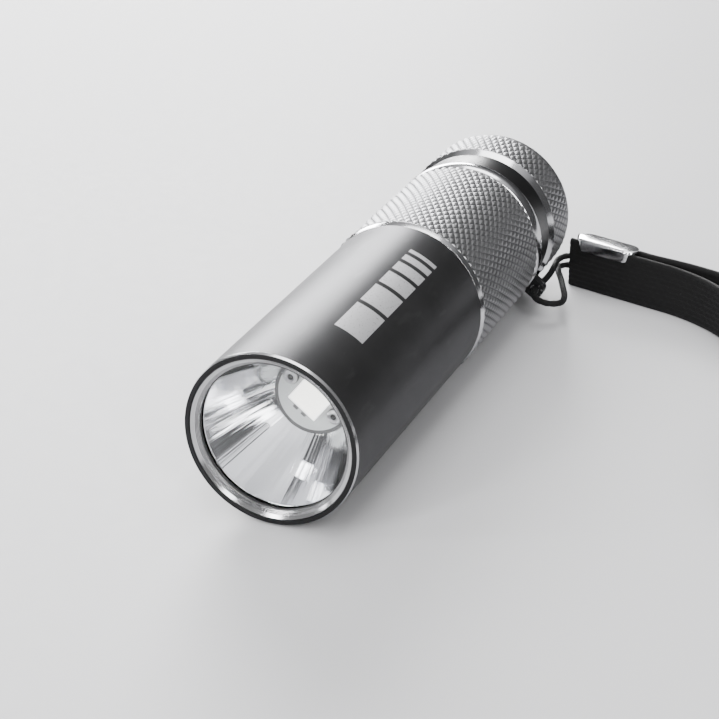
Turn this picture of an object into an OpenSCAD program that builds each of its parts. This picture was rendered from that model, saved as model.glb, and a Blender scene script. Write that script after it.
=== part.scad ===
// Pocket tactical flashlight with an aluminium body, three AAA cells, a tail switch and a wrist strap.
// The light lies on its side along X with its beam towards +X, and rests on z = 0.

/* [Body] */
// Overall length of the body without its strap
overall_length = 103; // [100:0.5:108]
// Outer radius of the smooth head tube
head_r = 14.0; // [13.8:0.05:14.1]
// Outer radius of the knurled grip, the polished ring and the tail cap
grip_r = 14.3; // [14.2:0.05:14.6]
// Length of the smooth head tube
head_length = 53.6; // [52:0.2:56]
// Length of the knurled grip behind the head tube
grip_length = 28.8; // [26:0.2:30]
// Inner radius of the battery bore
bore_r = 11.6; // [11.4:0.05:11.7]

/* [Light] */
// Radius of the front opening at the rim
mouth_r = 13.05; // [12.9:0.05:13.1]
// Thickness of the front lens
lens_thickness = 1.25; // [1:0.05:1.4]
// Radius of the reflector at its rim
reflector_rim_r = 11.75; // [11.4:0.05:11.8]
// Radius of the reflector's opening around the emitter
reflector_base_r = 5.9; // [5.6:0.05:6.2]
// Angle of the two board screws about the beam
board_angle = -38; // [-90:1:90]

/* [Tail] */
// Length of the tail cap
cap_length = 11.5; // [11:0.1:12]
// Radius of the rubber button
button_r = 5.8; // [5:0.1:6]

/* [Power] */
// Radius of one AAA cell
cell_r = 5.15; // [5:0.05:5.2]
// Length of one AAA cell with its positive nub
cell_length = 44.5; // [44:0.1:44.5]

/* [Strap] */
// Width of the wrist strap, which stands on its edge
strap_width = 10; // [8:0.5:12]
// Thickness of the webbing
strap_thickness = 1.1; // [0.9:0.1:1.2]
// Radius of the thin cord between the lug and the strap
cord_r = 0.6; // [0.5:0.05:0.65]

/* [Hidden] */
$fn = 96;

axis_z = grip_r;                       // height of the beam axis above the table
front_x = overall_length / 2;          // front face of the head tube
fit_gap = 0.05;                        // clearance between parts that screw or slide together

// Stations are measured backwards from the front face of the head tube
function x_at(station) = front_x - station;

// Front group
rim_r = 13.1;                          // outer radius of the bezel ring's flange
rim_sink = 0.08;                       // the bezel ring sits this far behind the head tube's face
sleeve_r = 12.9;                       // thread on the bezel ring's sleeve
sleeve_back = 7;
sleeve_bore_r = 12.45;                 // bore of the sleeve, which holds lens and reflector
rim_seat = 0.8;                        // depth of the bezel ring's flange in the head tube
bevel_r = 12.47;                       // inner edge of the bezel ring's outer bevel
bevel_back = 0.47;
lip_r = 11.9;                          // inner radius of the lip in front of the lens
lip_edge = 0.1;                        // width of the lip's inner edge
lip_back = 1.15;
gasket_thickness = 0.35;
lens_front = lip_back + gasket_thickness;
lens_back = lens_front + lens_thickness;
lens_r = sleeve_bore_r - fit_gap;
flange_thickness = 0.8;
reflector_wall = 0.9;
board_front = 14.9;
board_thickness = 1.0;
board_r = 9.2;
board_back = board_front + board_thickness;
package_side = 5.0;
phosphor_side = 4.2;
package_thickness = 0.9;
screw_pitch_r = 4.15;
screw_head_r = 1.15;
screw_shank_r = 0.6;
chamber_r = 12.9;                      // bore of the head tube around the reflector
sink_shoulder = 17.4;                  // the heat sink's flange rests here
sink_back = 28.6;
driver_front = 26.5;
driver_thickness = 1.6;
driver_r = 10.4;
lead_circle_r = 7.6;
lead_r = 0.6;

// Tubes
joint_front = 44;                      // front end of the battery tube, inside the head tube
joint_r = 12.7;                        // thread between the two tubes
tube_groove_front = 51.1;              // groove of the O-ring between the two tubes
tube_groove_back = 52.3;
tube_groove_r = 12.15;
grip_chamfer = 1.0;                    // bright turned chamfer in front of the knurling
grip_chamfer_depth = 0.4;
undercut = 0.8;                        // width of the groove between knurling and polished ring
undercut_r = grip_r - 0.7;
ring_front = head_length + grip_length + undercut;
ring_back = ring_front + 3.2;
collar_front = ring_back + 0.1;
cap_front = overall_length - cap_length;
collar_back = cap_front - 0.2;
collar_r = 13.6;
neck_r = 12.7;
thread_r = 12.6;
thread_back = 96.4;
thread_chamfer = 0.4;
tail_groove_front = 91.9;              // groove of the O-ring under the tail cap
tail_groove_back = 93.1;
tail_groove_r = 12.1;
cap_thread_r = 12.65;
cap_thread_back = 97;
cap_land_r = 13.0;                     // smooth bore that the tail O-ring seals against
cap_land_back = 93.6;
cap_chamfer = 1.2;
cap_chamfer_depth = 0.8;

// Lanyard lug on the collar
lug_angle = -37;
lug_hole_r = 0.85;
lug_r = 1.65;
lug_circle_r = 15.4;
lug_thickness = 2;
lug_station = 88.9;
lug_root_r = neck_r + 0.4;

// Battery carrier
plate_r = 11.1;
plate_thickness = 2.5;
carrier_front = 31.5;
carrier_back = 83.5;
cell_circle_r = 6.0;
post_circle_r = 9.7;
post_r = 1.2;
contact_thickness = 0.4;
nub_r = 1.9;
nub_length = 1.0;

// Tail switch
end_wall_front = overall_length - 2;
housing_front = 92.3;
housing_flange_front = 98.6;
housing_flange_back = 100.9;
housing_r = 7.6;
housing_pocket_front = 98.8;
retaining_ring_front = 97.2;
terminal_r = 6.6;
terminal_thickness = 0.4;
boot_flange_r = 7.0;
boot_head_r = 4.2;                     // head of the plunger inside the boot
boot_head_height = 1.2;
boot_front = 100.3;
boot_back = overall_length - 0.4;
plunger_r = 3.0;
plunger_front = 97.2;
spring_seat = 93.4;

// Strap: the two layers leave the clip side by side, then part into the wrist loop
layer_gap = 2.5;                       // distance between the layers' middles at the clip
clip_thickness = 4.2;
clip_height = 2.2;
clip_x = -51.4;
clip_y = 21.7;
clip_length = 12.6;
clip_turn = 73.5;                      // direction of the strap at the clip, about Z
LOOP_ROUTE = [[-47.5, 30.5], [-45.2, 37.5], [-41, 44.5], [-34, 51.5], [-23, 57], [-9, 60.5],
    [6, 62.5], [21, 65], [34, 71], [42, 82], [41, 95], [31, 104], [18, 107], [4, 104],
    [-9, 97], [-21, 87], [-31, 75], [-39, 61.5], [-44.5, 49.5], [-48.2, 39], [-50, 30.8]];
// Cord: from between the layers to the lug's hole, round and back
CORD_ROUTE = [[-52.45, 18.15, 5.3], [-53.2, 15.6, 5.3], [-53.5, 14.4, 5.3], [-53.1, 12.9, 5.2],
    [-51.6, 12.0, 4.9], [-49, 12.1, 4.6], [-45.2, 12.4, 4.5], [-41.2, 12.4, 4.7],
    [-37.4, 12.3, 5.03], [-34.8, 12.6, 5.0], [-32.8, 14.1, 4.8], [-32.6, 16.4, 4.5],
    [-34.6, 18.0, 4.2], [-38.5, 17.4, 3.8], [-43, 15.7, 3.4], [-47.2, 14.0, 3.2],
    [-50.2, 12.6, 3.2], [-52.1, 12.1, 3.3], [-53.2, 13.0, 3.4], [-53.5, 14.4, 3.5],
    [-53.2, 15.6, 3.5], [-52.45, 18.15, 3.5]];

// ---------- helpers ----------

// Solid of revolution about the beam axis; profile points are [radius, station]
module turned(profile) {
    translate([0, 0, axis_z])
        rotate([0, 90, 0])
            rotate_extrude()
                polygon([for (p = profile) [p[0], x_at(p[1])]]);
}

// Plain disc, or ring when it has an inner radius, between two stations
module disc(outer_r, front, back, inner_r = 0) {
    turned([[inner_r, front], [outer_r, front], [outer_r, back], [inner_r, back]]);
}

// Places children with their Z axis along the beam at a station, turned about the beam
module on_axis(station, angle = 0) {
    translate([x_at(station), 0, axis_z])
        rotate([angle, 0, 0])
            rotate([0, 90, 0])
                children();
}

// Rod parallel to the beam at a given distance and angle from it
module rod(radius, circle_r, angle, front, back) {
    translate([x_at(back), circle_r * cos(angle), axis_z + circle_r * sin(angle)])
        rotate([0, 90, 0])
            cylinder(h = back - front, r = radius);
}

function unit(v) = v / norm(v);

// Catmull-Rom curve through a list of points
function curve_point(a, b, c, d, t) =
    0.5 * (2 * b + (c - a) * t + (2 * a - 5 * b + 4 * c - d) * t * t
        + (3 * b - a - 3 * c + d) * t * t * t);

function smooth_route(points, steps) = [
    for (i = [0 : len(points) - 2])
        for (k = [0 : steps - 1])
            curve_point(points[max(i - 1, 0)], points[i], points[i + 1],
                points[min(i + 2, len(points) - 1)], k / steps),
    points[len(points) - 1]
];

function tangent(points, i) =
    unit(points[min(i + 1, len(points) - 1)] - points[max(i - 1, 0)]);

// Round tube swept along points that never run straight along the reference direction
module swept_tube(points, radius, sides, reference) {
    rings = [for (i = [0 : len(points) - 1])
        let (t = tangent(points, i), u = unit(cross(t, reference)), v = cross(t, u))
        [for (k = [0 : sides - 1])
            points[i] + radius * (cos(360 * k / sides) * u + sin(360 * k / sides) * v)]];
    last = len(points) - 1;
    skin = [for (i = [0 : last - 1]) for (k = [0 : sides - 1])
        [i * sides + k, (i + 1) * sides + k,
            (i + 1) * sides + (k + 1) % sides, i * sides + (k + 1) % sides]];
    caps = [[for (k = [0 : sides - 1]) k], [for (k = [sides - 1 : -1 : 0]) last * sides + k]];
    polyhedron([for (r = rings) for (p = r) p], concat(skin, caps));
}

// Conical wire spring about the beam axis or a parallel one
module wire_spring(front_r, back_r, front, back, turns, wire_r, y = 0, z = axis_z) {
    steps = turns * 12;
    route = [for (i = [0 : steps])
        let (t = i / steps, r = front_r + (back_r - front_r) * t, a = 360 * turns * t)
        [x_at(front + (back - front) * t), y + r * cos(a), z + r * sin(a)]];
    swept_tube(route, wire_r, 6, [1, 0, 0]);
}

// ---------- front group ----------

module bezel_ring() {
    color("dimgray")
        turned([[mouth_r, rim_sink], [rim_r, rim_sink], [rim_r, rim_seat], [sleeve_r, rim_seat],
            [sleeve_r, sleeve_back], [sleeve_bore_r, sleeve_back], [sleeve_bore_r, lip_back],
            [lip_r, lip_back], [lip_r, lip_back - lip_edge], [bevel_r, bevel_back]]);
}

module lens_gasket() {
    color("black")
        disc(sleeve_bore_r - fit_gap, lip_back, lens_front, lip_r - 0.2);
}

module front_lens() {
    color("lightcyan", 0.4)
        disc(lens_r, lens_front, lens_back);
}

// Radius of the bowl, a parabola between its rim and its base opening
function bowl_r(t) =
    sqrt(pow(reflector_rim_r, 2) + (pow(reflector_base_r, 2) - pow(reflector_rim_r, 2)) * t);

module reflector() {
    bowl_steps = 24;
    depth = board_front - lens_back;
    color("white")
        turned(concat(
            [for (k = [0 : bowl_steps]) let (t = k / bowl_steps) [bowl_r(t), lens_back + depth * t]],
            [[reflector_base_r + reflector_wall + 1.2, board_front],
                [reflector_base_r + reflector_wall + 1.2, board_front - 0.8]],
            [for (k = [bowl_steps - 2 : -1 : 3]) let (t = k / bowl_steps)
                [bowl_r(t) + reflector_wall, lens_back + depth * t]],
            [[lens_r - 0.4, lens_back + flange_thickness], [lens_r, lens_back + flange_thickness],
                [lens_r, lens_back]]));
}

module led_package() {
    color("khaki") {
        on_axis(board_front, board_angle)
            translate([-package_side / 2, -package_side / 2, 0])
                cube([package_side, package_side, package_thickness - 0.2]);
        on_axis(board_front - package_thickness + 0.2, board_angle)
            translate([-phosphor_side / 2, -phosphor_side / 2, -0.1])
                cube([phosphor_side, phosphor_side, 0.3]);
    }
}

module led_board() {
    color("silver")
        difference() {
            disc(board_r, board_front, board_back);
            for (side = [0, 180])
                rod(screw_shank_r, screw_pitch_r, board_angle + side, board_front - 1, board_back + 1);
        }
}

// Two pan-head screws that hold the board down on the heat sink
module board_screws() {
    color("gray")
        for (side = [0, 180])
            difference() {
                union() {
                    rod(screw_head_r, screw_pitch_r, board_angle + side, board_front - 0.7, board_front);
                    rod(screw_shank_r, screw_pitch_r, board_angle + side, board_front, board_back + 4);
                }
                rod(0.5, screw_pitch_r, board_angle + side, board_front - 1, board_front - 0.3);
            }
}

module heat_sink() {
    color("lightgray")
        difference() {
            turned([[0, board_back], [chamber_r - fit_gap, board_back],
                [chamber_r - fit_gap, sink_shoulder], [bore_r - fit_gap, sink_shoulder],
                [bore_r - fit_gap, sink_back], [driver_r, sink_back], [driver_r, driver_front],
                [0, driver_front]]);
            for (side = [0, 180]) {
                rod(screw_shank_r, screw_pitch_r, board_angle + side, board_back - 1, board_back + 4);
                rod(lead_r, lead_circle_r, board_angle + 90 + side, board_back - 1, driver_front + 1);
            }
        }
}

// Insulated leads from the driver to the back of the emitter board
module led_leads() {
    color("firebrick")
        for (side = [0, 180])
            rod(lead_r, lead_circle_r, board_angle + 90 + side, board_back, driver_front);
}

module driver_board() {
    color("darkgreen") {
        disc(driver_r, driver_front, driver_front + driver_thickness);
        rod(1.2, 7.4, 20, driver_front + driver_thickness - 0.1, driver_front + driver_thickness + 0.9);
        rod(0.9, 7.4, 200, driver_front + driver_thickness - 0.1, driver_front + driver_thickness + 0.7);
    }
}

module front_contact() {
    color("gold") {
        wire_spring(5.2, 3.2, driver_front + driver_thickness + 0.35, carrier_front - 0.75, 3, 0.35);
        disc(3.6, carrier_front - 0.4, carrier_front);
        disc(5.6, driver_front + driver_thickness, driver_front + driver_thickness + 0.3);
    }
}

// ---------- tubes ----------

module head_tube() {
    front_edge = 0.55;
    back_edge = 0.2;
    thread_relief = 0.5;
    seat_r = rim_r + fit_gap;
    color("darkslategray")
        turned([[seat_r, 0], [head_r - 0.15, 0], [head_r, front_edge],
            [head_r, head_length - back_edge], [head_r - back_edge, head_length],
            [joint_r + fit_gap, head_length], [joint_r + fit_gap, joint_front - thread_relief],
            [bore_r, joint_front - thread_relief], [bore_r, sink_shoulder],
            [chamber_r, sink_shoulder], [chamber_r, sleeve_back + 1],
            [sleeve_r + fit_gap, sleeve_back + 1], [sleeve_r + fit_gap, rim_seat],
            [seat_r, rim_seat]]);
}

module tube_o_ring() {
    color("black")
        disc(joint_r, tube_groove_front, tube_groove_back, tube_groove_r);
}

// Grip, polished ring, neck and tail thread are one turned tube
module battery_tube() {
    ring_steps = 8;
    ring_edge_r = grip_r - 0.5;
    grip_back = head_length + grip_length;
    color("silver")
        turned(concat(
            [[bore_r, joint_front], [joint_r, joint_front], [joint_r, tube_groove_front],
                [tube_groove_r, tube_groove_front], [tube_groove_r, tube_groove_back],
                [joint_r, tube_groove_back], [joint_r, head_length],
                [grip_r - grip_chamfer_depth, head_length], [grip_r, head_length + grip_chamfer],
                [grip_r, grip_back], [undercut_r, grip_back], [undercut_r, ring_front]],
            [for (k = [0 : ring_steps]) let (t = k / ring_steps)
                [ring_edge_r + (grip_r - ring_edge_r) * sin(180 * t),
                    ring_front + (ring_back - ring_front) * t]],
            [[neck_r, ring_back], [neck_r, cap_front], [thread_r, cap_front],
                [thread_r, tail_groove_front], [tail_groove_r, tail_groove_front],
                [tail_groove_r, tail_groove_back], [thread_r, tail_groove_back],
                [thread_r, thread_back - thread_chamfer],
                [thread_r - thread_chamfer, thread_back], [bore_r, thread_back]]));
}

// Clamped stamped collar with the drilled lug for the lanyard
module lanyard_collar() {
    color("dimgray")
        difference() {
            union() {
                disc(collar_r, collar_front, collar_back, neck_r);
                rod(lug_r, lug_circle_r, lug_angle,
                    lug_station - lug_thickness / 2, lug_station + lug_thickness / 2);
                intersection() {
                    on_axis(lug_station + lug_thickness / 2, lug_angle)
                        translate([-lug_r, lug_root_r, 0])
                            cube([2 * lug_r, lug_circle_r - lug_root_r, lug_thickness]);
                    disc(lug_circle_r, collar_front, collar_back, neck_r);
                }
            }
            rod(lug_hole_r, lug_circle_r, lug_angle, lug_station - 3, lug_station + 3);
        }
}

module tail_o_ring() {
    color("black")
        disc(cap_land_r - fit_gap, tail_groove_front + fit_gap, tail_groove_back - fit_gap,
            tail_groove_r);
}

// ---------- battery carrier ----------

module carrier_plate(front) {
    color("black")
        difference() {
            disc(plate_r, front, front + plate_thickness);
            for (k = [0 : 2])
                rod(post_r - 0.3, post_circle_r, 120 * k + 60, front - 1, front + plate_thickness + 1);
        }
}

module carrier_front_plate() {
    carrier_plate(carrier_front);
}

module carrier_rear_plate() {
    carrier_plate(carrier_back - plate_thickness);
}

// Three tie posts with reduced ends that are riveted into the plates
module carrier_posts() {
    color("darkgray")
        for (k = [0 : 2]) {
            rod(post_r - 0.3, post_circle_r, 120 * k + 60, carrier_front, carrier_back);
            rod(post_r, post_circle_r, 120 * k + 60,
                carrier_front + plate_thickness, carrier_back - plate_thickness);
        }
}

// Contact plates on the inner faces of both end plates, one for each cell
module carrier_contacts() {
    front = carrier_front + plate_thickness;
    back = carrier_back - plate_thickness;
    color("gold")
        for (k = [0 : 2]) {
            rod(3.4, cell_circle_r, 120 * k, front, front + contact_thickness);
            rod(3.4, cell_circle_r, 120 * k, back - contact_thickness, back);
        }
}

module carrier_springs() {
    front = carrier_front + plate_thickness + contact_thickness + cell_length;
    back = carrier_back - plate_thickness - contact_thickness;
    color("gainsboro")
        for (k = [0 : 2])
            wire_spring(2.2, 2.8, front + 0.3, back - 0.3, 2, 0.25,
                cell_circle_r * cos(120 * k), axis_z + cell_circle_r * sin(120 * k));
}

module cell(k) {
    front = carrier_front + plate_thickness + contact_thickness;
    color(["goldenrod", "peru", "darkgoldenrod"][k]) {
        rod(nub_r, cell_circle_r, 120 * k, front, front + nub_length + 0.1);
        rod(cell_r, cell_circle_r, 120 * k, front + nub_length, front + cell_length);
    }
}

// ---------- tail cap and switch ----------

module tail_spring() {
    wire_r = 0.4;
    color("gainsboro")
        wire_spring(4.0, 6.0, carrier_back + wire_r + fit_gap,
            housing_front - terminal_thickness - wire_r - fit_gap, 5, wire_r);
}

module tail_cap() {
    edge_steps = 8;
    edge_r = 2.2;
    color("silver")
        turned(concat(
            [[cap_land_r, cap_front], [grip_r - cap_chamfer_depth, cap_front],
                [grip_r, cap_front + cap_chamfer]],
            [for (k = [0 : edge_steps]) let (a = 90 * k / edge_steps)
                [grip_r - edge_r + edge_r * cos(a), overall_length - edge_r + edge_r * sin(a)]],
            [[button_r + 1.2, overall_length], [button_r + 0.3, overall_length - 0.9],
                [button_r + 0.3, end_wall_front], [bore_r, end_wall_front],
                [bore_r, cap_thread_back], [cap_thread_r, cap_thread_back],
                [cap_thread_r, cap_land_back], [cap_land_r, cap_land_back]]));
}

module switch_housing() {
    color("black")
        turned([[0, housing_front], [housing_r, housing_front], [housing_r, housing_flange_front],
            [bore_r, housing_flange_front], [bore_r, housing_flange_back],
            [boot_flange_r + 0.5, housing_flange_back], [boot_flange_r + 0.5, housing_pocket_front],
            [plunger_r + 0.1, housing_pocket_front], [plunger_r + 0.1, spring_seat],
            [0, spring_seat]]);
}

module switch_terminal() {
    color("gold")
        disc(terminal_r, housing_front - terminal_thickness, housing_front);
}

module switch_retaining_ring() {
    color("lightgray")
        disc(bore_r, retaining_ring_front, housing_flange_front, housing_r + 0.4);
}

module switch_spring() {
    color("gainsboro")
        wire_spring(2.3, 2.3, spring_seat + 0.3, plunger_front - 0.3, 4, 0.25);
}

module switch_plunger() {
    color("white") {
        disc(plunger_r, plunger_front, boot_front + 0.1);
        disc(boot_head_r, boot_front, boot_front + boot_head_height);
    }
}

// Rubber cap over the plunger; its flange sits in the pocket behind the cap's end wall
module button_boot() {
    crown_steps = 6;
    crown_r = 1.0;
    color("darkslategray")
        turned(concat(
            [[0, boot_front + boot_head_height], [boot_head_r, boot_front + boot_head_height],
                [boot_head_r, boot_front], [boot_flange_r, boot_front],
                [boot_flange_r, boot_front + 0.6], [button_r, boot_front + 0.6]],
            [for (k = [0 : crown_steps]) let (a = 90 * k / crown_steps)
                [button_r - crown_r + crown_r * cos(a), boot_back - crown_r + crown_r * sin(a)]],
            [[0, boot_back]]));
}

// ---------- lanyard ----------

module loop_cord() {
    color("black")
        swept_tube(smooth_route(CORD_ROUTE, 3), cord_r, 8, [0, 0, 1]);
}

// Folded metal clip along the upper edge of the two strap layers
module strap_clip() {
    channel = layer_gap + strap_thickness + 2 * fit_gap;
    color("silver")
        translate([clip_x, clip_y, strap_width])
            rotate([0, 0, clip_turn])
                difference() {
                    translate([-clip_length / 2, -clip_thickness / 2, -clip_height])
                        cube([clip_length, clip_thickness, clip_height]);
                    translate([-clip_length, -channel / 2, -2 * clip_height])
                        cube([2 * clip_length, channel, 2 * clip_height - 0.5]);
                }
}

// Point beside the clip's middle line: along it, then across it
function clip_point(along, across) = [
    clip_x + along * cos(clip_turn) - across * sin(clip_turn),
    clip_y + along * sin(clip_turn) + across * cos(clip_turn)
];

// The layers run straight through the clip, at these distances along it
layer_ends = [-7.4, 0, 6.6];
strap_route = smooth_route(concat(
    [for (along = layer_ends) clip_point(along, -layer_gap / 2)],
    LOOP_ROUTE,
    [for (k = [2 : -1 : 0]) clip_point(layer_ends[k], layer_gap / 2)]), 4);

function strap_side(points, distance) = [for (i = [0 : len(points) - 1])
    let (t = tangent(points, i)) points[i] + distance * [-t[1], t[0]]];

module wrist_strap() {
    outer = strap_side(strap_route, strap_thickness / 2);
    inner = strap_side(strap_route, -strap_thickness / 2);
    color("black")
        linear_extrude(strap_width - 0.5)
            polygon(concat(outer, [for (i = [len(inner) - 1 : -1 : 0]) inner[i]]));
}

bezel_ring();
lens_gasket();
front_lens();
reflector();
led_package();
led_board();
board_screws();
heat_sink();
led_leads();
driver_board();
front_contact();
head_tube();
tube_o_ring();
battery_tube();
lanyard_collar();
tail_o_ring();
carrier_front_plate();
carrier_rear_plate();
carrier_posts();
carrier_contacts();
carrier_springs();
cell(0);  // cell_1
cell(1);  // cell_2
cell(2);  // cell_3
tail_spring();
tail_cap();
switch_housing();
switch_terminal();
switch_retaining_ring();
switch_spring();
switch_plunger();
button_boot();
loop_cord();
strap_clip();
wrist_strap();
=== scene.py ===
"""Looks of the pocket flashlight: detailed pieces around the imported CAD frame.

Lengths are in millimetres unless a name says otherwise, and MM turns them into Blender's metres.
A station is a distance behind the front face of the head tube, measured along the beam axis.
"""
import math

import bmesh
import bpy
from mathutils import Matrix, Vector, noise


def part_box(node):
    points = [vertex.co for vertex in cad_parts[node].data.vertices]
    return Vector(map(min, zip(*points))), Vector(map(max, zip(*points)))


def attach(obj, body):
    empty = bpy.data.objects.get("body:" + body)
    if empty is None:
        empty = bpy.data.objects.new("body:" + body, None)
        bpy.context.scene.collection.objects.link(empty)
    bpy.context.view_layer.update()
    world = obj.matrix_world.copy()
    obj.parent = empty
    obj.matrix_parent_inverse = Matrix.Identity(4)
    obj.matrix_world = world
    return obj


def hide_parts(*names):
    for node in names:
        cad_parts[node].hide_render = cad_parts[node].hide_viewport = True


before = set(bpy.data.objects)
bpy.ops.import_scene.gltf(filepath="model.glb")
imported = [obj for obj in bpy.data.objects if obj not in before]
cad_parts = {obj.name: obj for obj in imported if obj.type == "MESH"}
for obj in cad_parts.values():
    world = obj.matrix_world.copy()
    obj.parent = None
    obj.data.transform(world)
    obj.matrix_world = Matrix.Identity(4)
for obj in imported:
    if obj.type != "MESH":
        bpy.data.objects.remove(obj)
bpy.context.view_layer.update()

MM = 0.001
TAU = 2 * math.pi
FRONT_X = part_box("head_tube")[1][0] / MM
AXIS_Z = (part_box("head_tube")[0][2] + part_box("head_tube")[1][2]) / 2 / MM
FIT_GAP = 0.05                  # clearance between parts that screw or slide together


def span(node):
    """Front station, back station and outer radius of a turned node."""
    low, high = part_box(node)
    return FRONT_X - high[0] / MM, FRONT_X - low[0] / MM, (high[2] - low[2]) / 2 / MM


HEAD_BACK, HEAD_R = span("head_tube")[1:]
TUBE_FRONT, TUBE_BACK, GRIP_R = span("battery_tube")
CAP_FRONT, CAP_BACK, CAP_R = span("tail_cap")
BORE_R = span("switch_retaining_ring")[2]
LENS_FRONT, LENS_BACK, LENS_R = span("front_lens")
BOARD_FRONT = span("led_board")[0]
BOARD_ANGLE = math.radians(-38)  # direction of the two board screws about the beam


# ---------- camera ----------

def set_camera():
    """Looks down at the head from its front right, through a long lens."""
    azimuth, elevation, distance = math.radians(112.40), math.radians(25.52), 332.5
    aim = Vector((FRONT_X - 30.6, 1.66, AXIS_Z + 0.03))
    back = Vector((math.sin(azimuth) * math.cos(elevation),
                   -math.cos(azimuth) * math.cos(elevation), math.sin(elevation)))
    data = bpy.data.cameras.new("camera")
    data.lens = 105.15
    data.sensor_width = 36
    data.clip_start = 0.01
    camera = bpy.data.objects.new("camera", data)
    camera.location = (aim + back * distance) * MM
    camera.rotation_euler = back.to_track_quat("Z", "Y").to_euler()
    bpy.context.scene.collection.objects.link(camera)
    bpy.context.scene.camera = camera


set_camera()


# ---------- materials ----------

class Finish:
    """A procedural material under construction, with short calls for the nodes that it uses."""

    def __init__(self, name, **constants):
        self.material = bpy.data.materials.new(name)
        self.material.use_nodes = True
        self.tree = self.material.node_tree
        self.shader = self.tree.nodes["Principled BSDF"]
        for socket, value in constants.items():
            self.shader.inputs[socket.replace("_", " ")].default_value = value
        self.place = self.node("TexCoord").outputs["Object"]

    def feed(self, socket, value):
        if isinstance(value, bpy.types.NodeSocket):
            self.tree.links.new(value, socket)
        elif socket.type == "RGBA" and len(value) == 3:
            socket.default_value = (*value, 1)
        else:
            socket.default_value = value

    def node(self, kind, inputs=(), **settings):
        made = self.tree.nodes.new("ShaderNode" + kind)
        for key, value in settings.items():
            setattr(made, key, value)
        for socket, value in dict(inputs).items():
            self.feed(made.inputs[socket], value)
        return made

    def math(self, operation, *values, clamp=False):
        made = self.node("Math", operation=operation, use_clamp=clamp)
        for socket, value in zip(made.inputs, values):
            self.feed(socket, value)
        return made.outputs[0]

    def axes(self):
        """Station, radius and angle about the beam of the shaded point, in mm and radians."""
        split = self.node("SeparateXYZ", {"Vector": self.place})
        station = self.math("MULTIPLY_ADD", split.outputs[0], -1 / MM, FRONT_X)
        y = self.math("MULTIPLY", split.outputs[1], 1 / MM)
        z = self.math("MULTIPLY_ADD", split.outputs[2], 1 / MM, -AXIS_Z)
        radius = self.math("SQRT", self.math("ADD", self.math("MULTIPLY", y, y),
                                             self.math("MULTIPLY", z, z)))
        return station, radius, self.math("ARCTAN2", z, y)

    def band(self, value, low, high):
        """1 where value lies between low and high."""
        above = self.math("GREATER_THAN", value, low)
        return self.math("MULTIPLY", above, self.math("LESS_THAN", value, high))

    def fade(self, value, low, high, low_out=0.0, high_out=1.0):
        """Runs smoothly from low_out at low to high_out at high."""
        made = self.node("MapRange", {"Value": value, "From Min": low, "From Max": high,
                                      "To Min": low_out, "To Max": high_out},
                         interpolation_type="SMOOTHSTEP")
        return made.outputs[0]

    def grain(self, size, detail=3, stretch=(1, 1, 1), place=None):
        """Cloudy noise with features of about this size in mm."""
        mapped = self.node("Mapping", {"Vector": place or self.place, "Scale": stretch})
        made = self.node("TexNoise", {"Vector": mapped.outputs[0], "Scale": 1 / (size * MM),
                                      "Detail": detail})
        return made.outputs[0]

    def lines(self, value, size, detail=2):
        """Noise along one measure only, such as the turning marks along a radius."""
        made = self.node("TexNoise", {"W": value, "Scale": 1 / size, "Detail": detail},
                         noise_dimensions="1D")
        return made.outputs[0]

    def ramp(self, value, *stops):
        made = self.node("ValToRGB", {"Fac": value})
        elements = made.color_ramp.elements
        for _ in range(len(stops) - 2):
            elements.new(0.5)
        for element, (at, colour) in zip(elements, stops):
            element.position = at
            element.color = (*colour, 1)
        return made.outputs[0]

    def mix(self, factor, first, second):
        made = self.node("Mix", data_type="RGBA")
        self.feed(made.inputs["Factor"], factor)
        self.feed(made.inputs[6], first)
        self.feed(made.inputs[7], second)
        return made.outputs[2]

    def blend(self, factor, first, second):
        """Plain number between first and second."""
        made = self.node("Mix", data_type="FLOAT")
        for socket, value in zip((0, 2, 3), (factor, first, second)):
            self.feed(made.inputs[socket], value)
        return made.outputs[0]

    def bump(self, height, depth, strength=1.0, normal=None):
        made = self.node("Bump", {"Height": height, "Distance": depth * MM, "Strength": strength})
        if normal:
            self.feed(made.inputs["Normal"], normal)
        return made.outputs[0]

    def done(self, colour=None, roughness=None, normal=None, metallic=None):
        given = {"Base Color": colour, "Roughness": roughness, "Normal": normal, "Metallic": metallic}
        for socket, value in given.items():
            if value is not None:
                self.feed(self.shader.inputs[socket], value)
        return self.material


def grey(level):
    """Neutral colour with a trace of blue."""
    return (level, level, level * 1.02)


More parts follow.
